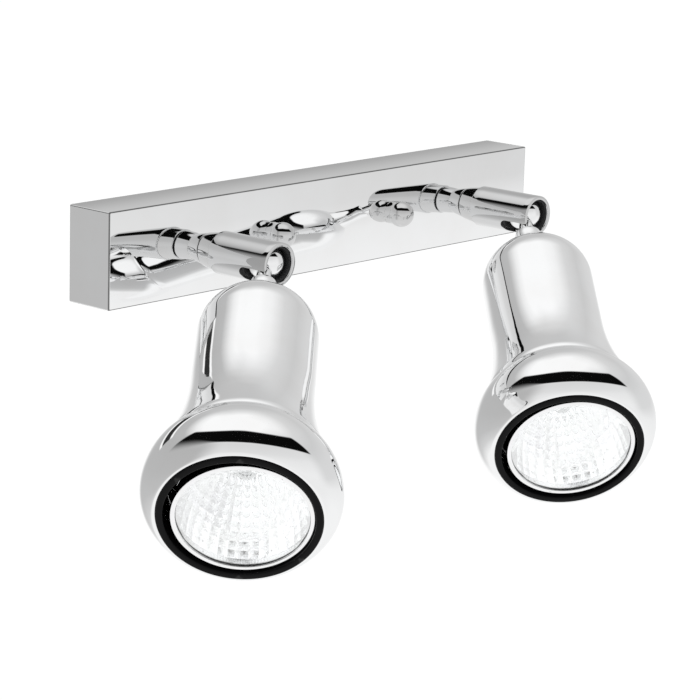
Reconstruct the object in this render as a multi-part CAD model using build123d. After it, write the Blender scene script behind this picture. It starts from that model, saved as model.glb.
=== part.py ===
from build123d import *
import math
import os

# Wall spotlight with two bell-shaped heads on a box-shaped bar.
# Millimetres. +X runs along the bar, the front faces -Y and +Z is up.
# The origin is the centre of the bar's back plane, where it meets the wall.

# Fits and the overrun of cuts
overrun = 1.0
bolt_fit = 0.1
turning_fit = 0.06
seat_fit = 0.05
snug_fit = 0.02

# Bar cover, folded from sheet and open at the back
bar_length = 250.0
bar_height = 38.0
bar_depth = 22.0
cover_sheet = 1.0
fold_radius = 0.5
arm_spacing = 157.0
stud_spacing = 72.0

# Wall bracket, a channel inside the cover
bracket_sheet = 1.5
bracket_gap = 0.3
bracket_leg = 8.0
wall_slot_spacing = 104.0
wall_slot_length = 12.0
wall_slot_width = 5.0
entry_offset = 14.0

# Rubber bush of the cable entry
bush_radius = 6.0
bush_bore = 3.5
bush_flange_radius = 8.0
bush_flange_height = 2.0

# Clinched studs and the domed nuts that hold the cover
stud_radius = 2.5
stud_collar_radius = 3.5
stud_collar_height = 1.0
stud_end_gap = 3.4
cap_collar_radius = 4.6
cap_collar_height = 2.4
cap_dome_radius = 5.3
cap_dome_lift = 5.6

# Terminal block with three poles, and its brass and screws
block_offset = -12.0
pole_pitch = 10.0
pole_count = 3
block_width = 15.0
block_height = 7.0
pole_end_wall = 4.5
tower_radius = 2.6
tower_height = 4.5
tower_spacing = 8.0
clamp_radius = 2.4
clamp_bore = 1.4
clamp_length = 13.0
pole_screw_radius = 1.5
pole_screw_recess = 1.0
block_screw_radius = 1.4
block_screw_head_radius = 2.4
block_screw_head_height = 1.6
block_screw_sink = 2.0

# Earth screw
earth_offset = 68.0
earth_screw_radius = 2.0
earth_head_radius = 4.0
earth_head_height = 2.6

# Insulated leads from the block to the arms
wire_radius = 1.0
wire_gap = 0.3
wire_shelf = 13.0
wire_first_turn = 24.0
wire_second_turn = 58.0
wire_bend = 5.5
wire_tail = 5.0

# Foot of each arm: a fixed collar, a slip washer and a hollow swivel bolt
collar_foot_radius = 5.2
collar_top_radius = 6.4
collar_height = 6.2
washer_radius = 5.7
washer_height = 0.8
bolt_radius = 4.0
bolt_bore = 2.8
bolt_head_radius = 6.0
bolt_head_height = 1.65
bolt_tail = 8.0
spring_washer_radius = 7.2
spring_washer_height = 1.2
spring_washer_split = 1.0
lock_nut_flats = 13.0
lock_nut_height = 4.0

# Arm: a turned shoulder in the back of an open tube
arm_length = 44.7
shoulder_start = 7.0
shoulder_small_radius = 6.8
shoulder_large_radius = 7.9
shoulder_height = 7.3
shoulder_floor = 2.0
spigot_share = 0.4225
tube_radius = 8.5
tube_wall = 1.0
tube_edge_radius = 0.5
tube_lip_height = 1.0
tube_lip_width = 0.6
neck_slot_width = 6.6
neck_slot_length = 14.3

# Ball joint inside the tube
ball_radius = 7.2
ball_setback = 7.6
cup_back = 8.6
cup_front = 2.6
cup_wire_bore = 3.0
cup_notch_reach = 5.0
ring_back = 3.1
ring_bore = 6.2
coil_radius = 6.2
coil_wire_radius = 0.6
coil_pitch = 2.0

# Ball stud and the collar that clamps the shade
neck_radius = 3.0
neck_length = 16.0
thread_radius = 5.0
stud_bore = 2.2
stud_funnel_radius = 5.0
stud_funnel_depth = 5.0
neck_collar_start = 14.2
neck_collar_radius = 5.5
neck_collar_straight = 2.5
neck_collar_foot = 9.0
dome_nut_flats = 14.0
dome_nut_height = 3.5

# Shade: a dome, a straight waist, a flare, a bulge and a turned-in nose
shade_top = 26.5
shade_length = 113.9
shade_sheet = 0.9
waist_radius = 22.6
dome_radius = 19.0
flare_radius = 110.0
flare_angle = 25.0
bulge_radius = 14.0
bell_radius = 35.4
nose_length = 12.5
mouth_radius = 29.9
lip_radius = 28.95

# Front ring of the shade
ring_proud = 0.6
ring_length = 5.7
front_ring_bore = 26.3
ring_flange_radius = 30.2
ring_flange_taper = 1.3
ring_edge = 0.6

# Reflector lamp with a small screw cap
lamp_recess = 0.2
lamp_length_share = 0.6321
lamp_rim_radius = 25.0
lamp_rim_height = 4.6
lamp_bowl_radius = 24.4
lamp_bowl_share = 0.811
lamp_wall = 1.2
lamp_neck_radius = 8.5
lamp_cap_radius = 6.95
lamp_cap_length = 24.0
lamp_tip_radius = 2.4
lamp_tip_height = 1.4
lamp_tip_slope = 2.6
front_glass_height = 1.6
front_glass_recess = 0.6
capsule_radius = 4.2
capsule_length = 20.0
capsule_base_height = 6.5

# Lampholder
holder_mouth_gap = 1.6
holder_length_share = 0.3775
holder_radius = 13.2
holder_shoulder_radius = 11.5
holder_shoulder_height = 4.0
holder_boss_radius = 8.0
holder_boss_height = 4.0
holder_floor = 6.0
holder_bore = 8.2
holder_wire_bore = 2.6
sleeve_wall = 0.6
sleeve_inset = 1.0
sleeve_lift = 6.0
contact_width = 4.0
contact_sheet = 0.4
contact_foot = 3.6
contact_reach = 6.6
contact_gap = 0.1

# Rest pose of the two heads, in degrees
left_swivel = -56.0
left_tilt = 35.3
right_swivel = -49.5
right_tilt = 40.6

# How far each lamp leans in its holder, and the side it leans to, in degrees
left_lean = 1.15
left_lean_side = 49.0
right_lean = 0.75
right_lean_side = 72.0

seated = (Align.CENTER, Align.CENTER, Align.MIN)
arm_places = {"left": -arm_spacing / 2, "right": arm_spacing / 2}
rest_pose = {"left": (left_swivel, left_tilt), "right": (right_swivel, right_tilt)}
lamp_leans = {"left": (left_lean, left_lean_side), "right": (right_lean, right_lean_side)}


def spun(edges):
    """Turn a closed outline of radius and height edges about +Z."""
    return revolve(Plane.XZ * make_face(Curve() + edges), Axis.Z)


def turned(points):
    """Turn a closed polygon of radius and height points about +Z."""
    return spun([Polyline(*points, close=True)])


def rod(radius, start, end):
    """A plain cylinder about +Z between two heights."""
    return Pos(0, 0, start) * Cylinder(radius, end - start, align=seated)


def collar(radius, bore, start, end):
    """A plain ring about +Z between two heights."""
    return rod(radius, start, end) - rod(bore, start - overrun, end + overrun)


def hexagon(flats, bore, start, end):
    """A plain hexagonal nut about +Z between two heights."""
    prism = extrude(RegularPolygon(flats / 2, 6, major_radius=False), amount=end - start)
    return Pos(0, 0, start) * prism - rod(bore, start - overrun, end + overrun)


def on_wall(x, z=0):
    """A place on the wall plane, with local +Z pointing to the front."""
    return Location((x, 0, z), (90, 0, 0))


def on_bar(side):
    """The foot of an arm on the bar's front face, with local +Z pointing to the front."""
    return Location((arm_places[side], -bar_depth, 0), (90, 0, 0))


# Heights along an arm, from the bar's face
collar_end = collar_height
washer_end = collar_end + washer_height
shoulder_end = shoulder_start + shoulder_height
floor_height = shoulder_end - shoulder_floor
ball_height = arm_length - ball_setback
cup_end = ball_height - cup_back
spigot_end = shoulder_end + spigot_share * (cup_end - shoulder_end)
tube_bore = tube_radius - tube_wall
inner_radius = tube_bore - seat_fit
seat_radius = ball_radius + seat_fit

# Distances along a head, from the ball's centre
shade_mouth = shade_top + shade_length
bell_height = shade_mouth - nose_length
dome_flat = waist_radius - dome_radius
dome_centre = shade_top + dome_radius
lamp_front = shade_mouth - lamp_recess
lamp_tip = lamp_front - lamp_length_share * shade_length
lamp_cap_end = lamp_tip + lamp_cap_length
lamp_rim_back = lamp_front - lamp_rim_height
holder_mouth = lamp_cap_end - holder_mouth_gap
holder_top = holder_mouth - holder_length_share * shade_length
holder_body = holder_top + holder_boss_height
cavity_floor = holder_body + holder_floor
stud_end = holder_body

# Tangent arcs of the shade
flare_slope = math.radians(flare_angle)
curve_sum = flare_radius + bulge_radius
bell_rise = bell_radius - waist_radius
flare_straight = (bell_rise - curve_sum * (1 - math.cos(flare_slope))) / math.sin(flare_slope)
flare_start = bell_height - curve_sum * math.sin(flare_slope) - flare_straight * math.cos(flare_slope)
nose_drop = bell_radius - mouth_radius
nose_radius = (nose_length**2 + nose_drop**2) / (2 * nose_drop)

# Arc of the lamp's bowl, upright at the rim
bowl_height = lamp_bowl_share * (lamp_rim_back - lamp_cap_end)
bowl_drop = lamp_bowl_radius - lamp_neck_radius
bowl_curve_radius = (bowl_height**2 + bowl_drop**2) / (2 * bowl_drop)


def bell_line(inset, mouth):
    """The shade's outline from the top centre to the mouth, set in by a thickness."""
    top = shade_top + inset
    waist = waist_radius - inset
    flare_centre = (waist_radius + flare_radius, flare_start)
    bulge_centre = (bell_radius - bulge_radius, bell_height)
    flare = CenterArc(flare_centre, flare_radius + inset, 180, -flare_angle)
    bulge = CenterArc(bulge_centre, bulge_radius - inset, -flare_angle, flare_angle)
    nose_angle = math.degrees(math.asin((mouth - bell_height) / (nose_radius - inset)))
    nose = CenterArc((bell_radius - nose_radius, bell_height), nose_radius - inset, 0, nose_angle)
    return [
        Line((0, top), (dome_flat, top)),
        CenterArc((dome_flat, dome_centre), dome_radius - inset, -90, 90),
        Line((waist, dome_centre), (waist, flare_start)),
        flare,
        Line(flare @ 1, bulge @ 0),
        bulge,
        nose,
    ]


def shade():
    """The spun bell, open at the mouth, with its edge turned in to hold the front ring."""
    outer = bell_line(0, shade_mouth)
    inner = bell_line(shade_sheet, shade_mouth - shade_sheet)
    lip = Polyline(
        outer[-1] @ 1,
        (lip_radius, shade_mouth),
        (lip_radius, shade_mouth - shade_sheet),
        inner[-1] @ 1,
    )
    top = Line((0, shade_top), (0, shade_top + shade_sheet))
    hole = rod(thread_radius + bolt_fit, shade_top - overrun, dome_centre)
    return spun(outer + [lip] + inner + [top]) - hole


def dome_surface(radius, inset):
    """The height of the shade's dome at a radius, on its outside or set in."""
    return dome_centre - math.sqrt((dome_radius - inset) ** 2 - (radius - dome_flat) ** 2)


def neck_collar():
    """The flared collar that screws on the stud and clamps the dome from above."""
    straight_end = neck_collar_start + neck_collar_straight
    foot = dome_surface(neck_collar_foot, 0)
    spread = neck_collar_foot - neck_collar_radius
    drop = foot - straight_end
    sweep_radius = (drop**2 + spread**2) / (2 * spread)
    sweep_angle = math.degrees(math.asin(drop / sweep_radius))
    edges = [
        Polyline(
            (neck_collar_radius, straight_end),
            (neck_collar_radius, neck_collar_start),
            (neck_radius + bolt_fit, neck_collar_start),
            (neck_radius + bolt_fit, neck_length),
            (thread_radius + snug_fit, neck_length),
            (thread_radius + snug_fit, foot + overrun),
            (neck_collar_foot, foot + overrun),
            (neck_collar_foot, foot),
        ),
        CenterArc((neck_collar_radius + sweep_radius, straight_end), sweep_radius, 180, -sweep_angle),
    ]
    rim = Line((0, shade_mouth - shade_sheet), bell_line(0, shade_mouth - shade_sheet)[-1] @ 1)
    axis = Line((0, shade_top), (0, shade_mouth - shade_sheet))
    bell = spun(bell_line(0, shade_mouth - shade_sheet) + [rim, axis])
    return spun(edges) - bell


def ball_stud():
    """The ball, its thin neck and the hollow threaded stem that carries the head."""
    stem = Sphere(ball_radius) + rod(neck_radius, 0, neck_length)
    stem += rod(thread_radius, neck_length, stud_end)
    funnel = Cone(stud_funnel_radius, stud_bore, stud_funnel_depth, align=seated)
    return stem - rod(stud_bore, -ball_radius, stud_end + overrun) - Pos(0, 0, -ball_radius) * funnel


def dome_nut():
    """The thin nut under the dome, its corners just on the curved sheet."""
    corner = dome_nut_flats / math.sqrt(3)
    start = dome_surface(corner, shade_sheet) + snug_fit
    return hexagon(dome_nut_flats, thread_radius + snug_fit, start, start + dome_nut_height)


def front_ring():
    """The glossy ring that snaps behind the shade's lip and frames the lamp."""
    outer = lip_radius - seat_fit
    front = shade_mouth + ring_proud
    back = front - ring_length
    lip_back = shade_mouth - shade_sheet - seat_fit
    ring = turned(
        [
            (front_ring_bore, back),
            (outer, back),
            (ring_flange_radius, back + ring_flange_taper),
            (ring_flange_radius, lip_back - ring_flange_taper),
            (outer, lip_back),
            (outer, front),
            (front_ring_bore, front),
        ]
    )
    return fillet(ring.edges().group_by(Axis.Z)[-1], ring_edge)


def lamp_reflector():
    """The pressed glass bowl with its neck and thick rim."""
    centre = lamp_bowl_radius - bowl_curve_radius
    bowl_inner = bowl_curve_radius - lamp_wall
    outer_angle = math.degrees(math.acos((lamp_neck_radius - centre) / bowl_curve_radius))
    inner_angle = math.degrees(math.acos((lamp_neck_radius - lamp_wall - centre) / bowl_inner))
    outer = CenterArc((centre, lamp_rim_back), bowl_curve_radius, -outer_angle, outer_angle)
    inner = CenterArc((centre, lamp_rim_back), bowl_inner, -inner_angle, inner_angle)
    rim = Polyline(
        outer @ 1,
        (lamp_rim_radius, lamp_rim_back),
        (lamp_rim_radius, lamp_front),
        (lamp_bowl_radius - lamp_wall, lamp_front),
        inner @ 1,
    )
    neck = Polyline(
        outer @ 0,
        (lamp_neck_radius, lamp_cap_end),
        (lamp_neck_radius - lamp_wall, lamp_cap_end),
        inner @ 0,
    )
    return spun([outer, inner, rim, neck])


def lamp_glass():
    """The clear front glass inside the lamp's rim."""
    front = lamp_front - front_glass_recess
    return rod(lamp_bowl_radius - lamp_wall - seat_fit, front - front_glass_height, front)


def lamp_capsule():
    """The inner halogen capsule on its ceramic foot."""
    foot_end = lamp_cap_end + capsule_base_height
    dome_start = foot_end + capsule_length - capsule_radius
    foot = rod(lamp_neck_radius - lamp_wall - seat_fit, lamp_cap_end, foot_end)
    return foot + rod(capsule_radius, foot_end, dome_start) + Pos(0, 0, dome_start) * Sphere(capsule_radius)


def lamp_cap():
    """The screw cap of the lamp with its sloped insulator and contact tip."""
    tip_end = lamp_tip + lamp_tip_height
    return turned(
        [
            (0, lamp_tip),
            (lamp_tip_radius, lamp_tip),
            (lamp_tip_radius, tip_end),
            (lamp_cap_radius, tip_end + lamp_tip_slope),
            (lamp_cap_radius, lamp_cap_end),
            (0, lamp_cap_end),
        ]
    )


def lampholder():
    """The stepped holder, screwed on the stud's end, with a deep bore for the cap."""
    shell = turned(
        [
            (0, holder_top),
            (holder_boss_radius, holder_top),
            (holder_boss_radius, holder_body),
            (holder_shoulder_radius, holder_body),
            (holder_radius, holder_body + holder_shoulder_height),
            (holder_radius, holder_mouth),
            (0, holder_mouth),
        ]
    )
    thread = rod(thread_radius + snug_fit, holder_top - overrun, holder_body)
    wire_way = rod(holder_wire_bore, holder_body - overrun, cavity_floor + overrun)
    return shell - thread - wire_way - rod(holder_bore, cavity_floor, holder_mouth + overrun)


def lampholder_sleeve():
    """The threaded metal sleeve that takes the lamp's cap."""
    end = holder_mouth - sleeve_inset
    radius = holder_bore - seat_fit
    return collar(radius, radius - sleeve_wall, cavity_floor + sleeve_lift, end)


def lampholder_contact():
    """The bent leaf that rises from the holder's floor to the lamp's tip."""
    low = cavity_floor + contact_sheet / 2
    high = lamp_tip - contact_sheet - contact_gap
    knee = (low + high) / 2
    foot = contact_reach - contact_foot
    leaf = Polyline((foot, low), (contact_reach, low), (contact_reach, knee), (0, high))
    return extrude(Plane.XZ * trace(leaf, contact_sheet), contact_width / 2, both=True)


def arm_shoulder():
    """The conical shoulder that turns on the swivel bolt and carries the tube."""
    cone = turned(
        [
            (0, shoulder_start + snug_fit),
            (shoulder_small_radius, shoulder_start + snug_fit),
            (shoulder_large_radius, shoulder_end),
            (tube_bore - snug_fit, shoulder_end),
            (tube_bore - snug_fit, spigot_end),
            (0, spigot_end),
        ]
    )
    well = rod(bolt_head_radius + bolt_fit + turning_fit, floor_height, spigot_end + overrun)
    return cone - rod(bolt_radius + turning_fit, 0, spigot_end) - well


def neck_slot(end):
    """A cutter as wide as the neck slot, round at its back end, along local -Y."""
    reach = tube_radius + overrun
    half = neck_slot_width / 2
    centre = end + half
    length = arm_length + overrun - centre
    straight = Pos(0, -reach / 2, centre + length / 2) * Box(neck_slot_width, reach, length)
    return straight + Location((0, 0, centre), (90, 0, 0)) * Cylinder(half, reach, align=seated)


def arm_tube():
    """The open tube with a slot for the neck and a small lip at its mouth."""
    tube = collar(tube_radius, tube_bore, shoulder_end, arm_length)
    back_edges = tube.edges().filter_by(GeomType.CIRCLE).group_by(Axis.Z)[0]
    tube = fillet(back_edges.sort_by(SortBy.RADIUS)[-1], tube_edge_radius)
    lip_back = arm_length - tube_lip_height
    tube += collar(tube_radius - tube_wall / 2, tube_bore - tube_lip_width, lip_back, arm_length)
    return tube - neck_slot(arm_length - neck_slot_length)


def ball_cup():
    """The nylon cup behind the ball, pushed forward by the coil."""
    cup = rod(inner_radius, cup_end, ball_height - cup_front)
    cup -= Pos(0, 0, ball_height) * Sphere(seat_radius)
    cup -= rod(cup_wire_bore, cup_end - overrun, ball_height)
    return cup - neck_slot(ball_height - cup_notch_reach)


def ball_ring():
    """The nylon ring in front of the ball, slotted like the tube."""
    ring = collar(inner_radius, ring_bore, ball_height + ring_back, arm_length - tube_lip_height - snug_fit)
    ring -= Pos(0, 0, ball_height) * Sphere(seat_radius)
    return ring - neck_slot(ball_height)


def ball_spring():
    """The coil that presses the cup against the ball."""
    start = spigot_end + coil_wire_radius + snug_fit
    end = cup_end - coil_wire_radius - snug_fit
    path = Pos(0, 0, start) * Helix(coil_pitch, end - start, coil_radius)
    section = Plane(path @ 0, z_dir=path % 0) * Circle(coil_wire_radius)
    return sweep(section, path, is_frenet=True)


def base_collar():
    """The fixed cone between the bar's face and the slip washer."""
    cone = Cone(collar_foot_radius, collar_top_radius, collar_height, align=seated)
    return cone - rod(bolt_radius + bolt_fit, -overrun, collar_end + overrun)


def swivel_washer():
    """The nylon slip washer on which the arm turns."""
    return collar(washer_radius, bolt_radius + bolt_fit, collar_end, washer_end)


def swivel_bolt():
    """The hollow bolt on which an arm turns and through which its leads pass."""
    head_start = floor_height + seat_fit
    bolt = rod(bolt_radius, -bolt_tail, head_start)
    bolt += rod(bolt_head_radius, head_start, head_start + bolt_head_height)
    return bolt - rod(bolt_bore, -bolt_tail - overrun, head_start + bolt_head_height + overrun)


def swivel_spring_washer():
    """The split washer inside the bar."""
    back = -cover_sheet
    ring = collar(spring_washer_radius, bolt_radius + snug_fit, back - spring_washer_height, back)
    split = Box(spring_washer_split, spring_washer_radius, bar_depth)
    return ring - Pos(0, (spring_washer_radius + bolt_radius) / 2, 0) * split


def swivel_lock_nut():
    """The nut inside the bar that draws the swivel tight."""
    front = -cover_sheet - spring_washer_height
    return hexagon(lock_nut_flats, bolt_radius + snug_fit, front - lock_nut_height, front)


def bar_cover():
    """The folded cover: five faces of sheet with holes for the arms and studs."""
    outside = Pos(0, -bar_depth / 2, 0) * Box(bar_length, bar_depth, bar_height)
    outside = fillet(outside.edges() - outside.faces().sort_by(Axis.Y)[-1].edges(), fold_radius)
    hollow_depth = bar_depth - cover_sheet + overrun
    hollow = Box(bar_length - 2 * cover_sheet, hollow_depth, bar_height - 2 * cover_sheet)
    cover = outside - Pos(0, overrun - hollow_depth / 2, 0) * hollow
    for x in (-arm_spacing / 2, arm_spacing / 2):
        cover -= on_wall(x) * rod(bolt_radius + bolt_fit, 0, bar_depth + overrun)
    for x in (-stud_spacing / 2, stud_spacing / 2):
        cover -= on_wall(x) * rod(stud_radius + bolt_fit, 0, bar_depth + overrun)
    return cover


def wall_bracket():
    """The channel that is screwed to the wall and carries the studs."""
    inner_length = bar_length - 2 * cover_sheet - 2 * bracket_gap
    inner_height = bar_height - 2 * cover_sheet - 2 * bracket_gap
    channel = Pos(0, -bracket_leg / 2, 0) * Box(inner_length, bracket_leg, inner_height)
    trough = Box(inner_length + overrun, bracket_leg, inner_height - 2 * bracket_sheet)
    channel -= Pos(0, -bracket_sheet - bracket_leg / 2, 0) * trough
    slot = extrude(SlotOverall(wall_slot_length, wall_slot_width), bracket_leg)
    for x in (-wall_slot_spacing / 2, wall_slot_spacing / 2):
        channel -= Pos(0, overrun, 0) * on_wall(x) * slot
    channel -= on_wall(entry_offset) * rod(bush_radius, -overrun, bracket_leg)
    channel -= on_wall(earth_offset) * rod(earth_screw_radius, -overrun, bracket_leg)
    channel -= on_wall(block_screw_place) * rod(block_screw_radius, -overrun, bracket_leg)
    for x in (-stud_spacing / 2, stud_spacing / 2):
        channel -= on_wall(x) * rod(stud_radius, -overrun, bracket_leg)
        channel -= on_wall(x) * rod(stud_collar_radius, -overrun, stud_collar_height)
    return channel


def bracket_studs():
    """Two studs, clinched flush in the bracket, that reach through the cover."""
    reach = bar_depth + cap_dome_lift + cap_dome_radius - stud_end_gap
    stud = rod(stud_collar_radius, 0, stud_collar_height) + rod(stud_radius, 0, reach)
    return [on_wall(x) * stud for x in (-stud_spacing / 2, stud_spacing / 2)]


def cap_nuts():
    """Two domed nuts, each a ball on a short collar, with a blind bore."""
    bore_end = cap_dome_lift + cap_dome_radius - stud_end_gap + snug_fit
    nut = rod(cap_collar_radius, 0, cap_collar_height)
    nut += Pos(0, 0, cap_dome_lift) * Sphere(cap_dome_radius)
    nut -= rod(cap_dome_radius + overrun, -cap_dome_radius, 0)
    nut -= rod(stud_radius + snug_fit, -overrun, bore_end)
    front = Pos(0, -bar_depth, 0)
    return [front * on_wall(x) * nut for x in (-stud_spacing / 2, stud_spacing / 2)]


block_back = bracket_sheet
block_front = block_back + block_height
block_length = (pole_count - 1) * pole_pitch + 2 * pole_end_wall
pole_places = [block_offset + (index - (pole_count - 1) / 2) * pole_pitch for index in range(pole_count)]
block_screw_place = (pole_places[0] + pole_places[1]) / 2
tower_places = [(x, z) for x in pole_places for z in (-tower_spacing / 2, tower_spacing / 2)]
clamp_height = (block_back + block_front) / 2
tower_end = block_front + tower_height


def terminal_block():
    """The moulded block: a base with two screw towers and one through bore a pole."""
    middle = (block_back + block_front) / 2
    block = Pos(block_offset, -middle, 0) * Box(block_length, block_height, block_width)
    for x, z in tower_places:
        block += on_wall(x, z) * rod(tower_radius, middle, tower_end)
    for x in pole_places:
        block -= Pos(x, -clamp_height, 0) * Cylinder(clamp_radius + snug_fit, block_width + overrun)
    for x, z in tower_places:
        block -= on_wall(x, z) * rod(pole_screw_radius + snug_fit, clamp_height, tower_end + overrun)
    screw_seat = block_front - block_screw_sink
    block -= on_wall(block_screw_place) * rod(block_screw_radius + bolt_fit, 0, block_front + overrun)
    return block - on_wall(block_screw_place) * rod(
        block_screw_head_radius + bolt_fit, screw_seat, block_front + overrun
    )


def terminal_clamps():
    """One brass barrel a pole, bored for the leads and tapped for two screws."""
    clamps = []
    for x in pole_places:
        barrel = Pos(x, -clamp_height, 0) * Cylinder(clamp_radius, clamp_length)
        barrel -= Pos(x, -clamp_height, 0) * Cylinder(clamp_bore, clamp_length + overrun)
        for z in (-tower_spacing / 2, tower_spacing / 2):
            barrel -= on_wall(x, z) * rod(pole_screw_radius + snug_fit, clamp_height, tower_end)
        clamps.append(barrel)
    return clamps


def terminal_screws():
    """Two screws a pole, down their towers to the leads."""
    screw = rod(pole_screw_radius, clamp_height + clamp_bore, tower_end - pole_screw_recess)
    return [on_wall(x, z) * screw for x, z in tower_places]


def block_screw():
    """The screw that holds the block on the bracket."""
    seat = block_front - block_screw_sink
    head_end = seat + block_screw_head_height
    screw = rod(block_screw_radius, 0, seat) + rod(block_screw_head_radius, seat, head_end)
    return on_wall(block_screw_place) * screw


def earth_screw():
    """The screw that clamps the earth lead on the bracket."""
    head_end = bracket_sheet + earth_head_height
    screw = rod(earth_screw_radius, 0, bracket_sheet) + rod(earth_head_radius, bracket_sheet, head_end)
    return on_wall(earth_offset) * screw


def cable_grommet():
    """The rubber bush that lines the cable entry."""
    flange_end = bracket_sheet + bush_flange_height
    bush = rod(bush_radius, 0, bracket_sheet) + rod(bush_flange_radius, bracket_sheet, flange_end)
    return on_wall(entry_offset) * (bush - rod(bush_bore, -overrun, flange_end + overrun))


def feed_wires():
    """Two leads an arm, from the block's outer poles into the swivel bolt's bore."""
    wires = []
    offset = wire_radius + wire_gap / 2
    inlet = bar_depth - bolt_tail
    for side in (-1, 1):
        for level in (-1, 1):
            pole = pole_places[0] if level < 0 else pole_places[-1]
            start = Vector(pole, -clamp_height, level * clamp_length / 2)
            shelf = level * (wire_shelf - (0 if side < 0 else 2 * wire_radius + wire_gap))
            end_x = side * arm_spacing / 2
            points = [
                start,
                Vector(start.X, start.Y, shelf),
                Vector(block_offset + side * wire_first_turn, start.Y, shelf),
                Vector(side * wire_second_turn, -inlet / 2, shelf),
                Vector(end_x, -inlet / 2, level * offset),
                Vector(end_x, -inlet - wire_tail, level * offset),
            ]
            path = FilletPolyline(*points, radius=wire_bend / 2)
            section = Plane(path @ 0, z_dir=path % 0) * Circle(wire_radius)
            wires.append(sweep(section, path))
    return wires


def in_arm(side, solid):
    """Place a piece of an arm, turned to the arm's rest angle."""
    swivel, tilt = rest_pose[side]
    return on_bar(side) * Rotation(0, 0, swivel) * solid


def in_head(side, solid):
    """Place a piece of a head, built along +Z from the ball's centre."""
    swivel, tilt = rest_pose[side]
    centre = Location((arm_places[side], -bar_depth - ball_height, 0))
    return centre * Rotation(0, -swivel, 0) * Rotation(180 - tilt, 0, 0) * solid


def in_lamp(side, solid):
    """Place a piece of a lamp, leaning a little about the middle of its cap."""
    lean, lean_side = lamp_leans[side]
    pivot = (lamp_tip + lamp_cap_end) / 2
    turn = Rotation(0, 0, lean_side) * Rotation(0, lean, 0) * Rotation(0, 0, -lean_side)
    return in_head(side, Pos(0, 0, pivot) * turn * Pos(0, 0, -pivot) * solid)


def write(node, shape):
    """Write one node, a single solid or a group of separate ones."""
    export_step(Compound(shape) if isinstance(shape, list) else shape, os.path.join("parts", node + ".step"))


single_pieces = {
    "bar_cover": bar_cover,
    "wall_bracket": wall_bracket,
    "bracket_studs": bracket_studs,
    "cap_nuts": cap_nuts,
    "terminal_block": terminal_block,
    "terminal_clamps": terminal_clamps,
    "terminal_screws": terminal_screws,
    "block_screw": block_screw,
    "earth_screw": earth_screw,
    "cable_grommet": cable_grommet,
    "feed_wires": feed_wires,
}
foot_pieces = {
    "base_collar": base_collar,
    "swivel_washer": swivel_washer,
    "swivel_bolt": swivel_bolt,
}
foot_fasteners = {
    "swivel_spring_washers": swivel_spring_washer,
    "swivel_lock_nuts": swivel_lock_nut,
}
arm_pieces = {
    "arm_shoulder": arm_shoulder,
    "arm_tube": arm_tube,
    "ball_spring": ball_spring,
    "ball_cup": ball_cup,
    "ball_ring": ball_ring,
}
head_pieces = {
    "ball_stud": ball_stud,
    "neck_collar": neck_collar,
    "dome_nut": dome_nut,
    "shade": shade,
    "lampholder": lampholder,
    "lampholder_sleeve": lampholder_sleeve,
    "lampholder_contact": lampholder_contact,
    "front_ring": front_ring,
}
lamp_pieces = {
    "lamp_cap": lamp_cap,
    "lamp_reflector": lamp_reflector,
    "lamp_glass": lamp_glass,
    "lamp_capsule": lamp_capsule,
}

os.makedirs("parts", exist_ok=True)
for node, build in single_pieces.items():
    write(node, build())
for node, build in foot_fasteners.items():
    write(node, [on_bar(side) * build() for side in arm_places])
for node, build in foot_pieces.items():
    for side in arm_places:
        write(node + "_" + side, on_bar(side) * build())
for node, build in arm_pieces.items():
    for side in arm_places:
        write(node + "_" + side, in_arm(side, build()))
for node, build in head_pieces.items():
    for side in arm_places:
        write(node + "_" + side, in_head(side, build()))
for node, build in lamp_pieces.items():
    for side in arm_places:
        write(node + "_" + side, in_lamp(side, build()))
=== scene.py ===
from math import acos, asin, ceil, copysign, cos, dist, hypot, pi, radians, sin, sqrt

import bmesh
import bpy
from mathutils import Matrix, Vector


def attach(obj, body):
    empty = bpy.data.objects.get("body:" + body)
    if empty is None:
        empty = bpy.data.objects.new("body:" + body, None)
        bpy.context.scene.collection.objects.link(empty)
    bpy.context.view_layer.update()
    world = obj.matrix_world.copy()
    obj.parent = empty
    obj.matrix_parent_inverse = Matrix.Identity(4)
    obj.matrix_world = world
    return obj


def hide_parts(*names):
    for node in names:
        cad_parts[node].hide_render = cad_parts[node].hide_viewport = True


# Wall spotlight with two bell-shaped heads on a box-shaped bar.
# Sizes are in millimetres and become metres in the meshes. +X runs along the bar, the front
# faces -Y, +Z is up, and the origin is the centre of the bar's back plane. An outline is a
# list of (radius, height) points that is turned about +Z, and an edge a list of such points
# as offsets from the corner they round.
MM = 0.001

# Bar and the places on its front face
BAR_DEPTH = 22.0
BAR_HEIGHT = 38.0
BAR_LENGTH = 250.0
ARM_X = {"left": -78.5, "right": 78.5}
STUD_X = (-36.0, 36.0)

# Cover of folded sheet: its easings, its front's grid, and its holes by the grid's columns
COVER_SHEET = 1.0
COVER_FOLD = 0.5
COVER_RIM = 0.1
COVER_CORNER = 0.05
COVER_FLAT = 0.15
COVER_COLUMNS = (-87.0, -70.0, -44.0, -28.0, 28.0, 44.0, 70.0, 87.0)
COVER_ROWS = (-8.0, 8.0)
ARM_HOLE = 4.1
STUD_HOLE = 2.6
COVER_HOLES = {
    0: (ARM_X["left"], ARM_HOLE),
    2: (STUD_X[0], STUD_HOLE),
    4: (STUD_X[1], STUD_HOLE),
    6: (ARM_X["right"], ARM_HOLE),
}
CORNER_STEPS = 4
FOLD_STEPS = 6
HOLE_STEPS = 32

# Domed nuts
CAP_COLLAR_RADIUS = 4.6
CAP_COLLAR_EASE = 0.15
CAP_DOME_RADIUS = 5.3
CAP_DOME_LIFT = 5.6
CAP_BORE_RADIUS = 2.52
CAP_BORE_DEPTH = 7.52

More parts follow.
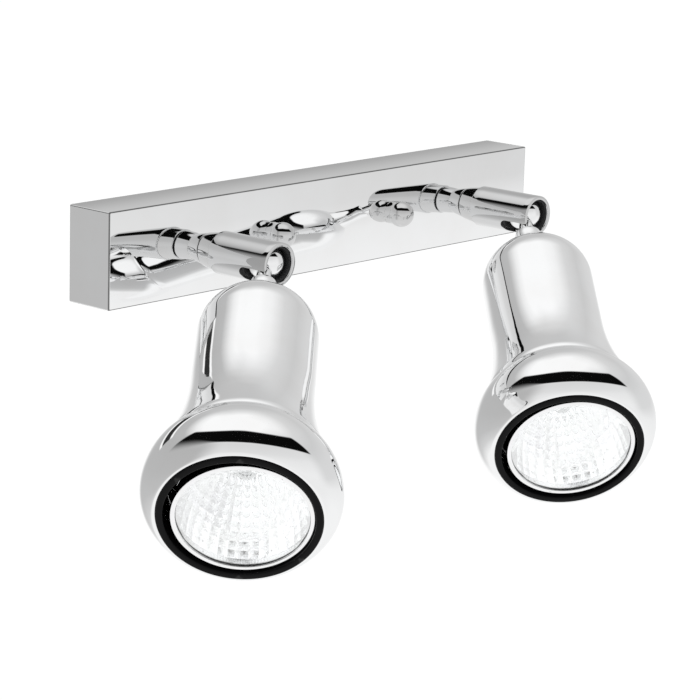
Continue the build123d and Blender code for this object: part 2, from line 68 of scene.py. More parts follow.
# Foot and arm, as heights from the bar's face
FOOT_RADIUS = 5.2
FOOT_TOP_RADIUS = 6.4
FOOT_HEIGHT = 6.2
FOOT_BORE = 4.1
SHOULDER_START = 7.02
SHOULDER_END = 14.3
SHOULDER_FLOOR = 12.3
SHOULDER_BORE = 4.06
SHOULDER_WELL = 6.16
SHOULDER_SMALL_RADIUS = 6.8
SHOULDER_LARGE_RADIUS = 7.9
CONE_EASE = 0.35
SPIGOT_END = 20.29
SPIGOT_RADIUS = 7.48
ARM_LENGTH = 44.7
TUBE_RADIUS = 8.5
TUBE_BORE = 7.5
TUBE_LIP_HEIGHT = 1.0
TUBE_LIP_RADIUS = 6.9
TUBE_BACK_EASE = 0.5
TUBE_BACK_STEPS = 6
TUBE_MOUTH_EDGE = ((-0.10, -0.10), (-0.35, 0))
TUBE_LIP_EDGE = ((0.3, 0), (0.08, -0.08), (0, -0.3))
TUBE_LEVELS = (18.0, 22.0, 26.0)
SLOT_LEVELS = (36.0, 39.0, 42.0)
SLOT_HALF = 3.3
SLOT_START = 30.4
SLOT_STEPS = 15
BALL_HEIGHT = 37.1

# Ball stud and neck collar, as distances from the ball's centre
BALL_RADIUS = 7.2
BALL_MOUTH_RADIUS = 5.0
BALL_MOUTH_DEPTH = 5.0
BALL_MOUTH_EDGE = ((0, 0), (0.1, -0.2))
NECK_RADIUS = 3.0
NECK_LENGTH = 16.0
NECK_FILLET = 0.4
THREAD_RADIUS = 5.0
THREAD_CHAMFER = 0.3
STUD_END = 51.61
STUD_BORE = 2.2
COLLAR_START = 14.2
COLLAR_RADIUS = 5.5
COLLAR_STRAIGHT = 2.5
COLLAR_FOOT = 9.0
COLLAR_BORE = 3.1
COLLAR_INNER_EDGE = ((0, 0.15), (0.15, 0))
COLLAR_OUTER_EDGE = ((-0.4, 0), (-0.12, 0.12), (0, 0.4))
THREAD_HOLE = 5.02

# Shade
SHADE_TOP = 26.5
SHADE_LENGTH = 113.9
SHADE_SHEET = 0.9
WAIST_RADIUS = 22.6
WAIST_STEPS = 12
DOME_RADIUS = 19.0
FLARE_ANGLE = radians(20.0)
BEAD_RADIUS = 8.0
CREASE_ANGLE = radians(50.0)
CREASE_RADIUS = 1.6
ROLL_ANGLE = radians(38.0)
ROLL_RADIUS = 8.0
BULGE_RADIUS = 21.0
BELL_RADIUS = 35.4
NOSE_LENGTH = 12.5
MOUTH_RADIUS = 29.9
MOUTH_EASE = 0.12
MOUTH_EDGE = ((-0.10, -0.03), (-0.22, 0))
LIP_RADIUS = 28.95
LIP_EDGE = ((0.15, 0), (0.04, -0.04), (0, -0.15), (0, -SHADE_SHEET))
SHADE_HOLE = 5.1

# Front ring
RING_PROUD = 0.6
RING_LENGTH = 5.7
RING_BORE = 26.3
RING_OUTER = 28.9
RING_FLANGE = 30.2
RING_TAPER = 1.3
RING_FRONT_EASE = 0.6
RING_BACK_EASE = 0.2
RING_PLAY = 0.05

# Lamp
LAMP_RECESS = 0.2
LAMP_CAP_END = 92.2
LAMP_RIM_RADIUS = 25.0
LAMP_RIM_HEIGHT = 4.6
LAMP_RIM_BACK_EDGE = ((-0.2, 0), (0, 0.2))
LAMP_RIM_FRONT_EDGE = ((0, -0.5), (-0.15, -0.15), (-0.5, 0))
LAMP_RIM_INNER_EDGE = ((0.4, 0), (0.1, -0.1), (0, -0.4))
LAMP_BOWL_RADIUS = 24.4
LAMP_WALL = 1.2
LAMP_NECK_RADIUS = 8.5
LAMP_BOWL_HEIGHT = 35.2
LAMP_PLAY = 0.05
GLASS_HEIGHT = 1.6
GLASS_RECESS = 0.6
GLASS_CROWN = 0.25
GLASS_STEPS = 12
GLASS_FRONT_EDGE = ((-0.3, -0.25), (-0.08, -0.34), (0, -0.6))
GLASS_BACK_EDGE = ((0, 0.2), (-0.2, 0))
CAPSULE_RADIUS = 4.2
CAPSULE_LENGTH = 20.0
CAPSULE_WALL = 0.5
CAPSULE_FOOT = 6.5
CAPSULE_RECESS = 0.8
CAPSULE_HOLE = 4.6
FILAMENT_RADIUS = 0.75
FILAMENT_TURNS = 16
FILAMENT_STEPS = 10
FILAMENT_WIRE = 0.10
LEAD_WIRE = 0.16
FACETS_ROUND = 40
FACET_ROWS = 10
FACET_STEPS = 4
FACET_CROWN = 0.10
MIRROR_BACK = 0.12
MIRROR_SKIN = 0.03

# Rest pose, and how far and to which side each lamp leans in its holder, in degrees
SWIVEL = {"left": -56.0, "right": -49.5}
TILT = {"left": 35.3, "right": 40.6}
LEAN = {"left": (1.15, 49.0), "right": (0.75, 72.0)}
LEAN_PIVOT = 80.2

# Mesh density
TURN_STEPS = 192
SMALL_TURN_STEPS = 96
ARC_STEP = radians(2.5)
EDGE_STEPS = 4
SHARP_ANGLE = radians(40.0)
SAME_POINT = 1e-6

SHADE_MOUTH = SHADE_TOP + SHADE_LENGTH
BELL_HEIGHT = SHADE_MOUTH - NOSE_LENGTH
DOME_FLAT = WAIST_RADIUS - DOME_RADIUS
DOME_CENTRE = SHADE_TOP + DOME_RADIUS
ROLL_HEIGHT = BELL_HEIGHT - (BULGE_RADIUS - ROLL_RADIUS) * sin(ROLL_ANGLE)
ROLL_MIDDLE = BELL_RADIUS - BULGE_RADIUS + (BULGE_RADIUS - ROLL_RADIUS) * cos(ROLL_ANGLE)
CREASE_HEIGHT = ROLL_HEIGHT - (ROLL_RADIUS + CREASE_RADIUS) * sin(CREASE_ANGLE)
CREASE_MIDDLE = ROLL_MIDDLE + (ROLL_RADIUS + CREASE_RADIUS) * cos(CREASE_ANGLE)
BEAD_MIDDLE = CREASE_MIDDLE - CREASE_RADIUS - BEAD_RADIUS
FLARE_END = CREASE_HEIGHT - BEAD_RADIUS * sin(FLARE_ANGLE)
FLARE_RISE = BEAD_MIDDLE + BEAD_RADIUS * cos(FLARE_ANGLE) - WAIST_RADIUS
FLARE_RADIUS = FLARE_RISE / (1 - cos(FLARE_ANGLE))
FLARE_START = FLARE_END - FLARE_RADIUS * sin(FLARE_ANGLE)
NOSE_DROP = BELL_RADIUS - MOUTH_RADIUS
NOSE_RADIUS = (NOSE_LENGTH**2 + NOSE_DROP**2) / (2 * NOSE_DROP)
LAMP_FRONT = SHADE_MOUTH - LAMP_RECESS
LAMP_RIM_BACK = LAMP_FRONT - LAMP_RIM_HEIGHT
LAMP_MOUTH_RADIUS = LAMP_BOWL_RADIUS - LAMP_WALL
CAPSULE_START = LAMP_CAP_END + CAPSULE_FOOT
QUARTER = pi / 2

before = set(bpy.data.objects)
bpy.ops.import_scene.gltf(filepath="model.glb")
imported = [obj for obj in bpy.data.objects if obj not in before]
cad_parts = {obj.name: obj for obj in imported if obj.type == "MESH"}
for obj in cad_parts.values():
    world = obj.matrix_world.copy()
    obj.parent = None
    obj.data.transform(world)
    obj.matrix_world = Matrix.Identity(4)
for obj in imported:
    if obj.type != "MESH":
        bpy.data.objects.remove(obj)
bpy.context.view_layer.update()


# Placing

def turn(degrees, axis):
    """A rotation about one axis."""
    return Matrix.Rotation(radians(degrees), 4, axis)


def wall_place(x):
    """A place on the bar's front face, +Z to the front."""
    return Matrix.Translation((x * MM, -BAR_DEPTH * MM, 0)) @ turn(90, "X")


def arm_place(side):
    """From an arm's own frame, +Z along the arm, to the object's frame."""
    return wall_place(ARM_X[side]) @ turn(SWIVEL[side], "Z")


def head_place(side):
    """From a head's own frame, +Z from the ball to the mouth, to the object's frame."""
    ball = Matrix.Translation((ARM_X[side] * MM, -(BAR_DEPTH + BALL_HEIGHT) * MM, 0))
    return ball @ turn(-SWIVEL[side], "Y") @ turn(180 - TILT[side], "X")


def lamp_place(side):
    """The head's frame with the lamp's lean about the middle of its cap."""
    lean, lean_side = LEAN[side]
    pivot = Matrix.Translation((0, 0, LEAN_PIVOT * MM))
    leaning = turn(lean_side, "Z") @ turn(lean, "Y") @ turn(-lean_side, "Z")
    return head_place(side) @ pivot @ leaning @ pivot.inverted()


# Outlines

def arc(centre, radius, start, end, steps=None):
    """Points on an arc, angles in radians from +radius."""
    steps = steps or max(2, ceil(abs(end - start) / ARC_STEP))
    angles = [start + (end - start) * i / steps for i in range(steps + 1)]
    return [(centre[0] + radius * cos(a), centre[1] + radius * sin(a)) for a in angles]


def rounded(r, h, edge):
    """An edge's points at its corner."""
    return [(r + dr, h + dh) for dr, dh in edge]


def joined(*runs):
    """One run of points with doubled points taken out."""
    out = []
    for run in runs:
        for point in run:
            if not out or dist(out[-1], point) > SAME_POINT:
                out.append(point)
    return out


def eased(*corners):
    """A closed outline from (radius, height, easing) corners, each rounded by its easing."""
    out = []
    for i, (r, h, ease) in enumerate(corners):
        if ease == 0:
            out.append((r, h))
            continue
        here = Vector((r, h))
        before = Vector(corners[i - 1][:2]) - here
        after = Vector(corners[(i + 1) % len(corners)][:2]) - here
        start = here + before.normalized() * ease
        end = here + after.normalized() * ease
        for k in range(EDGE_STEPS + 1):
            t = k / EDGE_STEPS
            out.append(tuple(start * (1 - t) ** 2 + here * 2 * t * (1 - t) + end * t**2))
    return joined(out)


# Meshes, each a pair of points and faces until it becomes an object

def strip(low, high, closed=True):
    """Faces between two rows of points. A row of one point is a tip."""
    count = max(len(low), len(high))
    faces = []
    for k in range(count if closed else count - 1):
        n = (k + 1) % count
        face = (low[k % len(low)], low[n % len(low)], high[n % len(high)], high[k % len(high)])
        face = tuple(dict.fromkeys(face))
        if len(face) > 2:
            faces.append(face)
    return faces


def net(rows, looped=False, closed=True):
    """Faces between each row and the next and, if looped, between the last and the first."""
    following = rows[1:] + rows[:1] if looped else rows[1:]
    return [face for low, high in zip(rows, following) for face in strip(low, high, closed)]


def lathe(outline, steps=SMALL_TURN_STEPS, looped=True):
    """An outline turned about +Z."""
    points = []
    rings = []
    for r, h in outline:
        count = steps if r > SAME_POINT else 1
        rings.append(range(len(points), len(points) + count))
        angles = [2 * pi * k / steps for k in range(count)]
        points += [(r * cos(a), r * sin(a), h) for a in angles]
    return points, net(rings, looped)


def tube_along(path, radius, steps=8):
    """A thin round wire along a path."""
    points = []
    for i, p in enumerate(path):
        ahead = Vector(path[min(i + 1, len(path) - 1)]) - Vector(path[max(i - 1, 0)])
        ahead.normalize()
        helper = Vector((1, 0, 0)) if abs(ahead.x) < 0.9 else Vector((0, 1, 0))
        u = ahead.cross(helper).normalized()
        v = ahead.cross(u)
        for k in range(steps):
            a = 2 * pi * k / steps
            points.append(tuple(Vector(p) + (u * cos(a) + v * sin(a)) * radius))
    rings = [range(i * steps, (i + 1) * steps) for i in range(len(path))]
    return points, net(rings) + [tuple(rings[0])[::-1], tuple(rings[-1])]


def merged(*parts):
    """Several meshes as one."""
    points = []
    faces = []
    for part_points, part_faces in parts:
        start = len(points)
        points += part_points
        faces += [tuple(start + i for i in face) for face in part_faces]
    return points, faces


def add_object(name, data):
    """A new object in the scene."""
    obj = bpy.data.objects.new(name, data)
    bpy.context.scene.collection.objects.link(obj)
    return obj


def mesh_object(name, shape, place, material, slot, body, *replaced):
    """A smooth object in the object's frame, which keeps its own frame's points as an attribute."""
    points, faces = shape
    mesh = bpy.data.meshes.new(name)
    local = [Vector(p) * MM for p in points]
    mesh.from_pydata([place @ p for p in local], [], faces)
    mesh.validate()
    mesh.update()
    own = mesh.attributes.new("own", "FLOAT_VECTOR", "POINT")
    own.data.foreach_set("vector", [c for p in local for c in p])
    for polygon in mesh.polygons:
        polygon.use_smooth = True
    mesh.set_sharp_from_angle(angle=SHARP_ANGLE)
    obj = add_object(name, mesh)
    mesh.materials.append(MATERIALS[material])
    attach(obj, body)
    if replaced:
        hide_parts(*replaced)
    return obj


def head_piece(side, name, shape, place, material, slot, *replaced):
    """An object that rides a head. Its name and the nodes it replaces end in the side."""
    nodes = [node + "_" + side for node in replaced]
    mesh_object(name + "_" + side, shape, place(side), material, slot, "head_" + side, *nodes)


# Shader nodes

def set_inputs(tree, node, inputs):
    """Set a node's inputs to numbers, vectors or colours, or link them to sockets."""
    for key, value in inputs.items():
        socket = node.inputs[key]
        if isinstance(value, bpy.types.NodeSocket):
            tree.links.new(value, socket)
        else:
            socket.default_value = (*value, 1) if socket.type == "RGBA" else value


def add_node(tree, kind, inputs, **settings):
    """A shader node with its settings and inputs."""
    node = tree.nodes.new("ShaderNode" + kind)
    for name, value in settings.items():
        setattr(node, name, value)
    set_inputs(tree, node, inputs)
    return node


def calc(tree, operation, first, *others):
    """A Math node's result, with the operation repeated over any further values."""
    result = first
    for value in others or (0.0,):
        result = add_node(tree, "Math", {0: result, 1: value}, operation=operation).outputs[0]
    return result


def ramp(tree, value, low, high, start=0.0, end=1.0):
    """A smooth step from start to end while a value goes from low to high."""
    inputs = {"Value": value, "From Min": low, "From Max": high, "To Min": start, "To Max": end}
    return add_node(tree, "MapRange", inputs, interpolation_type="SMOOTHSTEP").outputs["Result"]


def blend(tree, factor, a, b):
    """A mix of two colours."""
    inputs = {"Factor": factor, "A": a, "B": b}
    return add_node(tree, "Mix", inputs, data_type="RGBA").outputs["Result"]


def noise(tree, vector, scale, detail=3.0, rough=0.5, stretch=(1, 1, 1)):
    """A noise texture's value, with the coordinates stretched."""
    place = add_node(tree, "Mapping", {"Vector": vector, "Scale": stretch}).outputs["Vector"]
    inputs = {"Vector": place, "Scale": scale, "Detail": detail, "Roughness": rough}
    return add_node(tree, "TexNoise", inputs).outputs["Fac"]


def bump(tree, height, distance, strength=1.0, normal=None):
    """A bump normal from a height."""
    inputs = {"Strength": strength, "Distance": distance, "Height": height}
    if normal is not None:
        inputs["Normal"] = normal
    return add_node(tree, "Bump", inputs).outputs["Normal"]


def new_material(name, look, *values, **options):
    """A material with the shader inputs that a look gives."""
    material = bpy.data.materials.new(name)
    material.use_nodes = True
    tree = material.node_tree
    set_inputs(tree, tree.nodes["Principled BSDF"], look(tree, *values, **options))
    return material


def attribute(tree, name):
    """A mesh attribute's node."""
    return add_node(tree, "Attribute", {}, attribute_name=name)


def own_coordinates(tree):
    """Coordinates in a turned piece's own frame, in metres."""
    return attribute(tree, "own").outputs["Vector"]


def object_coordinates(tree):
    """Coordinates in the object's frame, in metres."""
    return add_node(tree, "TexCoord", {}).outputs["Object"]


def components(tree, vector):
    """A vector's three numbers."""
    return tuple(add_node(tree, "SeparateXYZ", {0: vector}).outputs)


def edge_wear(tree, low, high):
    """One on raised edges and zero elsewhere."""
    return ramp(tree, add_node(tree, "NewGeometry", {}).outputs["Pointiness"], low, high)


# Materials: colours, and relief too fine for the meshes, in metres

WHITE = (1, 1, 1)
CHROME_CLEAN = (0.955, 0.96, 0.965)
CHROME_HAZED = (0.93, 0.93, 0.93)
CHROME_RUBBED = (0.90, 0.895, 0.885)
# Painted shade: how far the darker copy of the chrome is toned down.
PAINTED_SHADE_TONE = 0.70
# Painted shade: a dark grey laid along the cover's folds.
FOLD_PAINTED_SHADE = (0.20, 0.20, 0.2)
# Painted shade: a grey laid on the cover's top, more of it towards the back.
TOP_PAINTED_SHADE = (0.45, 0.45, 0.45)
TOP_FROM = -1.1 * BAR_DEPTH * MM
TOP_TO = 0.15 * BAR_DEPTH * MM
FACING = 0.9
BLACK_CLEAN = (0.0035, 0.0035, 0.004)
BLACK_DUSTY = (0.012, 0.012, 0.012)
BLACK_RUBBED = (0.03, 0.03, 0.03)
MIRROR_TONES = ((0.97, 0.97, 0.98), (0.95, 0.955, 0.95))
MIRROR_SPECK = (0.45, 0.45, 0.44)
# Painted light: how strongly the lamp's mirror facets glow.
MIRROR_PAINTED_GLOW = 0.14
GLASS_TINT = (0.985, 0.99, 0.99)
SHEET_WAVE = 0.00008
SHEET_CROWN_RADIUS = 0.100
FINE_SCRATCH = 0.000002
TURNED_GRAIN = 0.000006
MIRROR_GRAIN = 0.000003
GLASS_FLOW = 0.000004

# Cast, plated and moulded surfaces: two tones, metallic, least and greatest roughness, the
# noise's scale and the grain's depth. Two have their own specular level or rubbed edges too.
MOTTLED = {
    "zinc_steel": ((0.66, 0.67, 0.68), (0.5, 0.51, 0.53), 1, (0.28, 0.42), 140, 2e-5, 0.5, False),
    "spring_steel": ((0.5, 0.5, 0.5), (0.33, 0.33, 0.34), 1, (0.3, 0.45), 200, 2e-5),
    "brass": ((0.83, 0.62, 0.27), (0.62, 0.44, 0.18), 1, (0.22, 0.4), 180, 2e-5),
    "lamp_metal": ((0.72, 0.72, 0.72), (0.55, 0.55, 0.56), 1, (0.2, 0.35), 160, 2e-5),
    "hot_wire": ((0.35, 0.34, 0.33), (0.2, 0.19, 0.19), 1, (0.35, 0.5), 900, 1e-5),
    "nylon": ((0.010, 0.010, 0.011), (0.006, 0.006, 0.006), 0, (0.45, 0.6), 160, 3e-5, 0.2),
    "bakelite": ((0.75, 0.74, 0.71), (0.62, 0.61, 0.58), 0, (0.35, 0.5), 120, 3e-5),
    "terminal": ((0.72, 0.72, 0.7), (0.6, 0.6, 0.58), 0, (0.35, 0.5), 150, 3e-5),
    "ceramic": ((0.86, 0.85, 0.82), (0.76, 0.75, 0.72), 0, (0.45, 0.6), 140, 3e-5),
    "rubber": ((0.03, 0.03, 0.03), (0.018, 0.018, 0.018), 0, (0.6, 0.8), 200, 4e-5),
    "wire": ((0.18, 0.09, 0.05), (0.11, 0.055, 0.03), 0, (0.4, 0.5), 120, 2e-5),
}


def chrome(tree, waviness, stretch=(1, 1, 1), tone=1.0, turned=True):
    """Polished chrome: faint haze and wipe marks, fine scratches, soft ripples, rubbed edges."""
    place = own_coordinates(tree) if turned else object_coordinates(tree)
    haze = noise(tree, place, 45.0, 4.0, 0.6)
    wipes = noise(tree, place, 160.0, 2.0, 0.5, stretch)
    ripples = noise(tree, place, 22.0, 1.0, 0.4, stretch)
    edge_mask = edge_wear(tree, 0.52, 0.6)
    # A tone below one darkens the chrome's colours as painted shade.
    clean, hazed, rubbed = [
        tuple(tone * c for c in colour) for colour in (CHROME_CLEAN, CHROME_HAZED, CHROME_RUBBED)
    ]
    tint = blend(tree, ramp(tree, haze, 0.35, 0.7), clean, hazed)
    wiped = ramp(tree, wipes, 0.45, 0.75, 0.015, 0.045)
    hazy = ramp(tree, haze, 0.4, 0.75, 0.0, 0.02)
    return {
        "Base Color": blend(tree, edge_mask, tint, rubbed),
        "Metallic": 1.0,
        "Roughness": calc(tree, "ADD", wiped, hazy, calc(tree, "MULTIPLY", edge_mask, 0.1)),
        "Normal": bump(tree, wipes, FINE_SCRATCH, 0.6, bump(tree, ripples, waviness)),
    }


def chrome_sheet(tree):
    """The cover's chrome: rougher folds with painted shade, painted shade on the top that darkens
    towards the back, and a faintly crowned front.
    """
    place = object_coordinates(tree)
    y, z = components(tree, place)[1:]
    haze = noise(tree, place, 30.0, 4.0, 0.6)
    wipes = noise(tree, place, 120.0, 2.0, 0.5, (0.15, 1, 1))
    ripples = noise(tree, place, 55.0, 1.0, 0.4, (0.08, 0.3, 1))
    fold = attribute(tree, "fold").outputs["Fac"]
    # Painted shade: a dark grey on the folds, which are rougher too.
    edge_mask = calc(tree, "MULTIPLY", fold, ramp(tree, haze, 0.2, 0.5, 0.6, 1.0))
    facing_y, facing_z = components(tree, add_node(tree, "TexCoord", {}).outputs["Normal"])[1:]
    top = calc(tree, "GREATER_THAN", facing_z, FACING)
    # Painted shade: the top greys more towards the back.
    top_painted_shade = calc(tree, "MULTIPLY", top, ramp(tree, y, TOP_FROM, TOP_TO))
    tint = blend(tree, ramp(tree, haze, 0.35, 0.7), CHROME_CLEAN, CHROME_HAZED)
    tint = blend(tree, edge_mask, tint, FOLD_PAINTED_SHADE)
    wiped = ramp(tree, wipes, 0.45, 0.8, 0.01, 0.022)
    front = calc(tree, "LESS_THAN", facing_y, -FACING)
    crown = calc(tree, "MULTIPLY", z, z, front, -0.5 / SHEET_CROWN_RADIUS)
    return {
        "Base Color": blend(tree, top_painted_shade, tint, TOP_PAINTED_SHADE),
        "Metallic": 1.0,
        "Roughness": calc(tree, "ADD", wiped, calc(tree, "MULTIPLY", edge_mask, 0.2)),
        "Normal": bump(tree, ripples, SHEET_WAVE, 1.0, bump(tree, crown, 1.0)),
    }


def ring_black(tree):
    """Glossy black ring: fine turned lines, a little dust and rubbed edges."""
    place = own_coordinates(tree)
    dust = noise(tree, place, 900.0, 2.0, 0.7)
    cloud = noise(tree, place, 60.0)
    colour = blend(tree, ramp(tree, dust, 0.66, 0.78), BLACK_CLEAN, BLACK_DUSTY)
    return {
        "Base Color": blend(tree, edge_wear(tree, 0.53, 0.62), colour, BLACK_RUBBED),
        "Specular IOR Level": 0.10,
        "Roughness": ramp(tree, cloud, 0.3, 0.8, 0.30, 0.48),
        "Normal": bump(tree, noise(tree, place, 500.0, 2.0), TURNED_GRAIN),
    }


def mirror_glass(tree, glow):
    """The lamp's aluminised glass, with a faint cast and a few dull specks, and a glow of painted
    light where one is given.
    """
    place = own_coordinates(tree)
    cast = noise(tree, place, 90.0, 2.0)
    specks = noise(tree, place, 420.0, 1.0, 0.4)
    colour = blend(tree, ramp(tree, cast, 0.3, 0.7), *MIRROR_TONES)
    return {
        "Base Color": blend(tree, ramp(tree, specks, 0.74, 0.8), colour, MIRROR_SPECK),
        "Metallic": 1.0,
        "Roughness": ramp(tree, cast, 0.3, 0.8, 0.05, 0.12),
        "Normal": bump(tree, noise(tree, place, 400.0, 1.0), MIRROR_GRAIN),
        # Painted light: a white glow that stands in for the mirror's bright reflections.
        "Emission Color": WHITE,
        "Emission Strength": glow,
    }


def clear_glass(tree, ior):
    """Clear pressed glass with faint flow lines and smears."""
    place = own_coordinates(tree)
    smears = noise(tree, place, 70.0, 3.0, 0.6)
    return {
        "Base Color": GLASS_TINT,
        "Transmission Weight": 1.0,
        "IOR": ior,
        "Roughness": ramp(tree, smears, 0.4, 0.8, 0.0, 0.04),
        "Normal": bump(tree, noise(tree, place, 120.0, 1.0), GLASS_FLOW),
    }


def mottled(tree, light, dark, metallic, rough, scale, depth, specular=0.5, rubbed_edges=True):
    """A cast, plated or moulded surface: two tones, uneven gloss, fine grain, rubbed edges."""
    place = object_coordinates(tree)
    tone = noise(tree, place, scale, 4.0, 0.6)
    grain = noise(tree, place, scale * 12, 2.0)
    colour = blend(tree, ramp(tree, tone, 0.3, 0.7), light, dark)
    if rubbed_edges:
        rubbed = tuple(min(1.0, c * 1.35 + 0.02) for c in light)
        colour = blend(tree, edge_wear(tree, 0.52, 0.62), colour, rubbed)
    return {
        "Base Color": colour,
        "Metallic": metallic,
        "Specular IOR Level": specular,
        "Roughness": ramp(tree, tone, 0.25, 0.75, *rough),
        "Normal": bump(tree, grain, depth),
    }


MATERIALS = {
    "chrome": new_material("chrome_plain", chrome, 0.00001, turned=False),
    "chrome_sheet": new_material("chrome_sheet", chrome_sheet),
    "chrome_turned": new_material("chrome_turned", chrome, 0.00004),
    # A darker copy of the chrome, its colour toned down as painted shade, for the feet, arms and
    # domed nuts.
    "chrome_painted_shade": new_material("chrome_painted_shade", chrome, 0.00004, tone=PAINTED_SHADE_TONE),
    "chrome_spun": new_material("chrome_spun", chrome, 0.00005, stretch=(1, 1, 6)),
    "black_ring": new_material("ring_black", ring_black),
    "mirror_glass": new_material("mirror_glass", mirror_glass, 0.0),
    # The facets glow with painted light.
    "mirror_facets": new_material("mirror_facets", mirror_glass, MIRROR_PAINTED_GLOW),
    "clear_glass": new_material("clear_glass", clear_glass, 1.47),
    "capsule_glass": new_material("capsule_glass", clear_glass, 1.46),
}
for surface, values in MOTTLED.items():
    MATERIALS[surface] = new_material(surface, mottled, *values)


def finish_cad_nodes():
    """Give each carried-over solid the material of its slot."""
    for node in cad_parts.values():
        for place in node.material_slots:
            place.material = MATERIALS[place.material.name.split(".")[0]]


# Shade and its fittings

def bell_points(inset, mouth):
    """The bell's line from the stud's hole to the mouth, set in by a thickness."""
    dome = DOME_RADIUS - inset
    waist = WAIST_RADIUS - inset
    waist_step = (FLARE_START - DOME_CENTRE) / WAIST_STEPS
    flare_middle = WAIST_RADIUS + FLARE_RADIUS
    hole_angle = asin((SHADE_HOLE - DOME_FLAT) / dome)
    nose_angle = asin((mouth - BELL_HEIGHT) / (NOSE_RADIUS - inset))
    hollow = pi - FLARE_ANGLE
    valley = pi - CREASE_ANGLE
    return joined(
        arc((DOME_FLAT, DOME_CENTRE), dome, hole_angle - QUARTER, 0),
        [(waist, DOME_CENTRE + waist_step * i) for i in range(WAIST_STEPS + 1)],
        arc((flare_middle, FLARE_START), FLARE_RADIUS + inset, pi, hollow),
        arc((BEAD_MIDDLE, CREASE_HEIGHT), BEAD_RADIUS - inset, -FLARE_ANGLE, 0),
        arc((CREASE_MIDDLE, CREASE_HEIGHT), CREASE_RADIUS + inset, pi, valley),
        arc((ROLL_MIDDLE, ROLL_HEIGHT), ROLL_RADIUS - inset, -CREASE_ANGLE, -ROLL_ANGLE),
        arc((BELL_RADIUS - BULGE_RADIUS, BELL_HEIGHT), BULGE_RADIUS - inset, -ROLL_ANGLE, 0),
        arc((BELL_RADIUS - NOSE_RADIUS, BELL_HEIGHT), NOSE_RADIUS - inset, 0, nose_angle),
    )


def shade(side):
    """The spun bell with its turned-in mouth."""
    outline = bell_points(0, SHADE_MOUTH - MOUTH_EASE)
    outline += rounded(MOUTH_RADIUS, SHADE_MOUTH, MOUTH_EDGE)
    outline += rounded(LIP_RADIUS, SHADE_MOUTH, LIP_EDGE)
    outline += bell_points(SHADE_SHEET, SHADE_MOUTH - SHADE_SHEET)[::-1]
    head_piece(side, "bell", lathe(outline, TURN_STEPS), head_place, "chrome_spun", "chrome", "shade")


def dome_surface(radius):
    """The height of the shade's dome at a radius."""
    return DOME_CENTRE - sqrt(DOME_RADIUS**2 - (radius - DOME_FLAT) ** 2)


def neck_collar(side):
    """The flared collar that clamps the dome."""
    straight_end = COLLAR_START + COLLAR_STRAIGHT
    spread = COLLAR_FOOT - COLLAR_RADIUS
    drop = dome_surface(COLLAR_FOOT) - straight_end
    radius = (drop**2 + spread**2) / (2 * spread)
    end = pi - asin(drop / radius)
    under = [COLLAR_FOOT - k for k in range(4)] + [THREAD_HOLE]
    outline = joined(
        rounded(COLLAR_BORE, COLLAR_START, COLLAR_INNER_EDGE),
        rounded(COLLAR_RADIUS, COLLAR_START, COLLAR_OUTER_EDGE),
        arc((COLLAR_RADIUS + radius, straight_end), radius, pi, end),
        [(r, dome_surface(r)) for r in under],
        [(THREAD_HOLE, NECK_LENGTH), (COLLAR_BORE, NECK_LENGTH)],
    )
    head_piece(side, "collar", lathe(outline), head_place, "chrome_turned", "chrome", "neck_collar")


def ball_stud(side):
    """The ball with its neck and hollow stem."""
    neck_angle = asin(NECK_RADIUS / BALL_RADIUS)
    mouth_angle = asin(BALL_MOUTH_RADIUS / BALL_RADIUS)
    outline = joined(
        rounded(STUD_BORE, BALL_MOUTH_DEPTH - BALL_RADIUS, BALL_MOUTH_EDGE),
        arc((0, 0), BALL_RADIUS, mouth_angle - QUARTER, QUARTER - neck_angle),
        [
            (NECK_RADIUS, BALL_RADIUS * cos(neck_angle) + NECK_FILLET),
            (NECK_RADIUS, NECK_LENGTH),
            (THREAD_RADIUS - THREAD_CHAMFER, NECK_LENGTH),
            (THREAD_RADIUS, NECK_LENGTH + THREAD_CHAMFER),
            (THREAD_RADIUS, STUD_END),
            (STUD_BORE, STUD_END),
        ],
    )
    head_piece(side, "ball", lathe(outline), head_place, "chrome_turned", "chrome", "ball_stud")


def front_ring(side):
    """The glossy ring that frames the lamp."""
    front = SHADE_MOUTH + RING_PROUD
    back = front - RING_LENGTH
    lip_back = SHADE_MOUTH - SHADE_SHEET - RING_PLAY
    outline = eased(
        (RING_BORE, back, RING_BACK_EASE),
        (RING_OUTER, back, RING_BACK_EASE),
        (RING_FLANGE, back + RING_TAPER, RING_BACK_EASE),
        (RING_FLANGE, lip_back - RING_TAPER, RING_BACK_EASE),
        (RING_OUTER, lip_back, 0),
        (RING_OUTER, front, RING_FRONT_EASE),
        (RING_BORE, front, RING_FRONT_EASE),
    )
    head_piece(side, "mouth_ring", lathe(outline, TURN_STEPS),
               head_place, "black_ring", "black_ring", "front_ring")


# Lamp

def bowl_curve(wall):
    """The bowl's line from the neck to the rim, set in by a wall."""
    drop = LAMP_BOWL_RADIUS - LAMP_NECK_RADIUS
    radius = (LAMP_BOWL_HEIGHT**2 + drop**2) / (2 * drop)
    centre = (LAMP_BOWL_RADIUS - radius, LAMP_RIM_BACK)
    angle = acos((LAMP_NECK_RADIUS - wall - centre[0]) / (radius - wall))
    return arc(centre, radius - wall, -angle, 0)


def point_along(points, share):
    """The point at a share of a line's length."""
    goal = share * sum(dist(a, b) for a, b in zip(points, points[1:]))
    for a, b in zip(points, points[1:]):
        length = dist(a, b)
        if goal <= length:
            break
        goal -= length
    t = min(1.0, goal / length)
    return tuple(a[k] + (b[k] - a[k]) * t for k in (0, 1))


def facet_edge(level, number):
    """A facet's two corners on a level, which is a point of the bowl's line."""
    r, h = level
    angles = [2 * pi * n / FACETS_ROUND for n in (number, number + 1)]
    return [Vector((r * cos(a), r * sin(a), h)) for a in angles]


